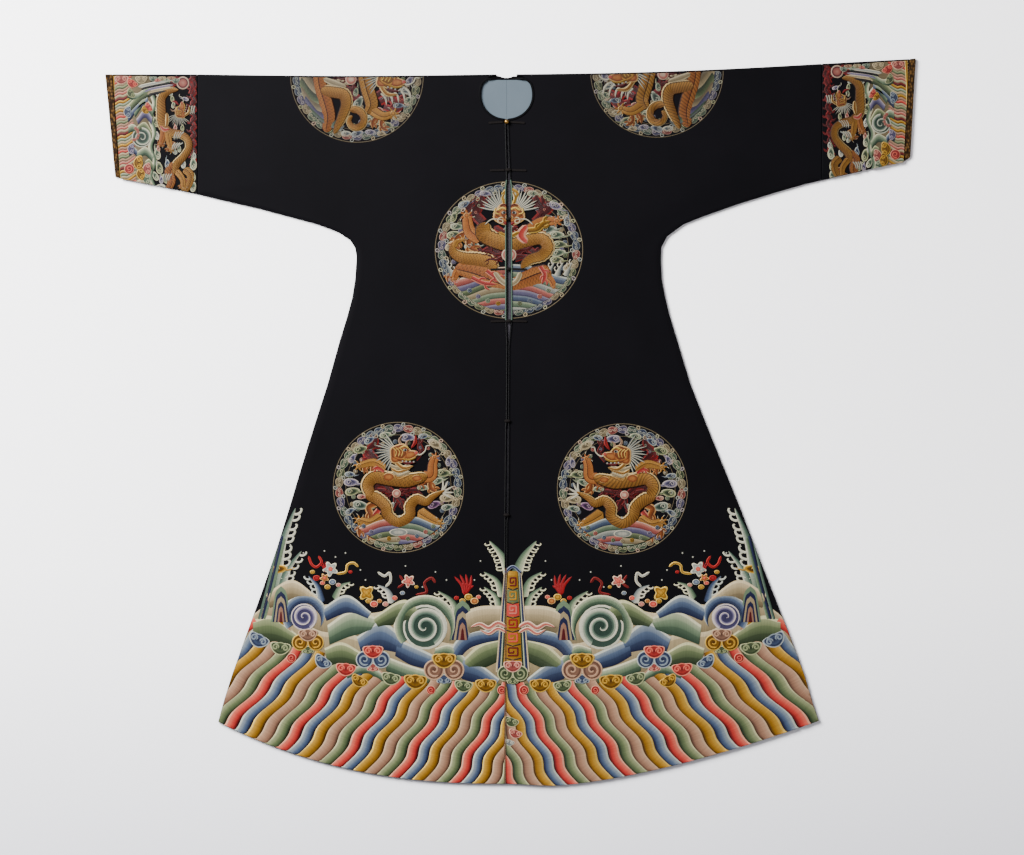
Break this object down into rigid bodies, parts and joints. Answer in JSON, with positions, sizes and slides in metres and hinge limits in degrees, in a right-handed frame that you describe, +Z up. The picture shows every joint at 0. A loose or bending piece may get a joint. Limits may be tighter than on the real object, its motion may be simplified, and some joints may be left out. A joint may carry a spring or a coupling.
{
  "type": "padded roundel surcoat",
  "caption": "Long dark wadded silk court surcoat laid flat, centre-front opening, dragon roundels, wave-border hem and cuff bands.",
  "frame": {"origin": "on the surface the coat lies on, under the middle of its outline", "axes": "+X to the viewer's right along the spread sleeves, +Y towards the neck, +Z up, away from the surface"},
  "size_m": [1.622, 1.4559, 0.0178],
  "materials": {
    "silk": "satin weave, near-black navy",
    "embroidery": "silk and couched gold embroidery",
    "brocade": "dark brown and gold brocade ribbon",
    "lining": "plain light grey-blue silk",
    "cord": "dark silk cord",
    "gilt": "gilt, softly polished"
  },
  "bodies": {
    "root": {"right_half": "silk", "left_half": "silk", "right_cuff_band": "embroidery", "left_cuff_band": "embroidery", "right_cuff_edging": "brocade", "left_cuff_edging": "brocade", "right_lining": "lining", "left_lining": "lining", "neck_binding": "silk", "button_1": "gilt", "button_2": "cord", "button_3": "cord", "button_4": "cord", "button_5": "cord", "button_6": "cord", "button_7": "cord", "loop_1": "cord", "loop_2": "cord", "loop_3": "cord", "loop_4": "cord", "loop_5": "cord", "tab_1": "cord", "tab_2": "cord", "tab_3": "cord", "tab_4": "cord", "tab_5": "cord"}
  },
  "joints": []
}
